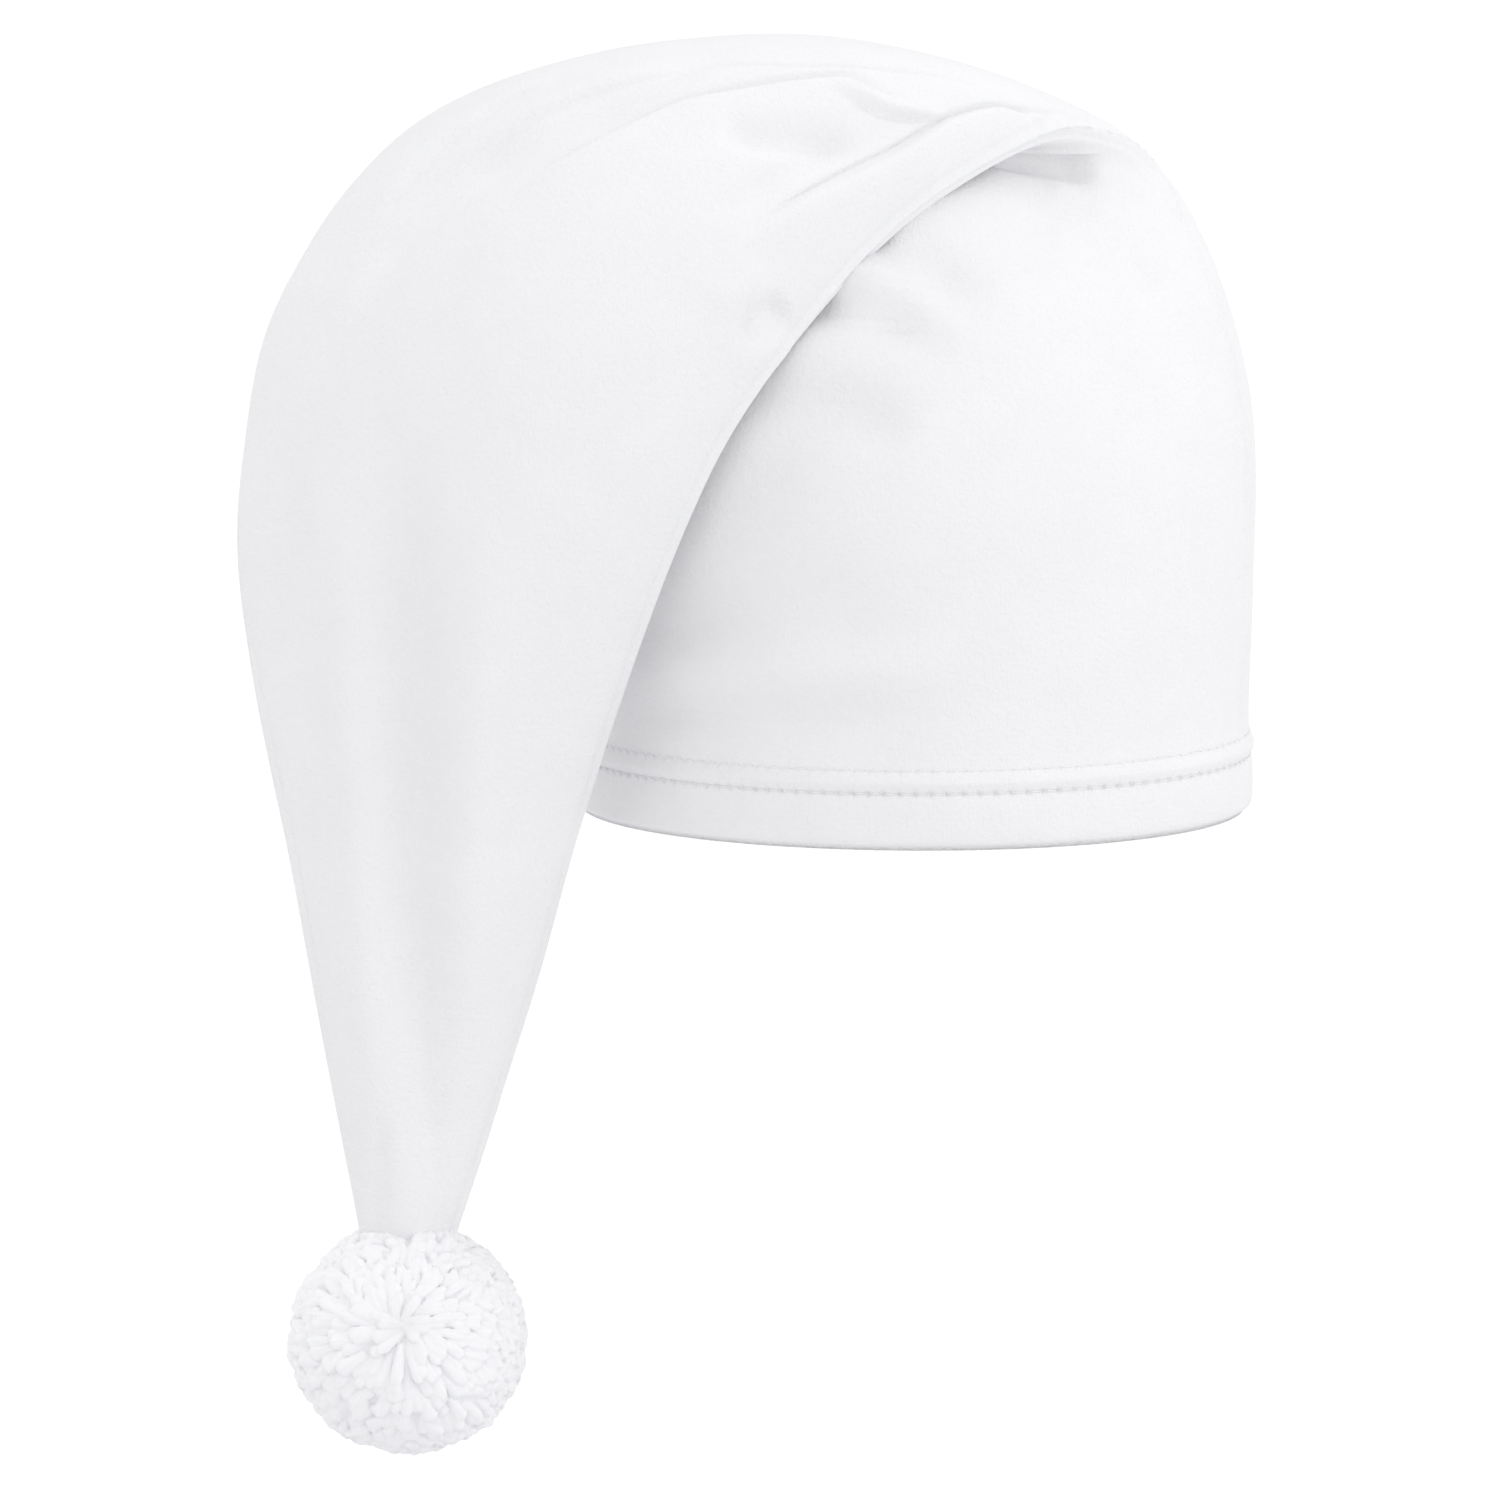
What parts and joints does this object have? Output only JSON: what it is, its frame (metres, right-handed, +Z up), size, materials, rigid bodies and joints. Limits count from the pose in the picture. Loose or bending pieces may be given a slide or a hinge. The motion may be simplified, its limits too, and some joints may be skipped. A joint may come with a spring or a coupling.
{
  "type": "nightcap",
  "caption": "Soft cotton-jersey stocking nightcap in its worn shape, with a folded-over tail that hangs to a yarn pompom and a stitched hem band around the head opening.",
  "frame": {"origin": "middle of the head opening, in the plane of the hem's lower edge", "axes": "+Z up through the crown, +X towards the side seam, -Y towards the face"},
  "size_m": [0.2638, 0.2023, 0.3656],
  "materials": {
    "cotton_jersey": "white cotton jersey, matte, fine vertical wales and a light fuzz",
    "hem_jersey": "the same jersey folded double, stitched with two rows of white thread",
    "cut_yarn": "soft white acrylic yarn, cut ends, matte"
  },
  "bodies": {
    "root": {"cap_body": "cotton_jersey", "hem_band": "hem_jersey", "pompom": "cut_yarn"}
  },
  "joints": []
}
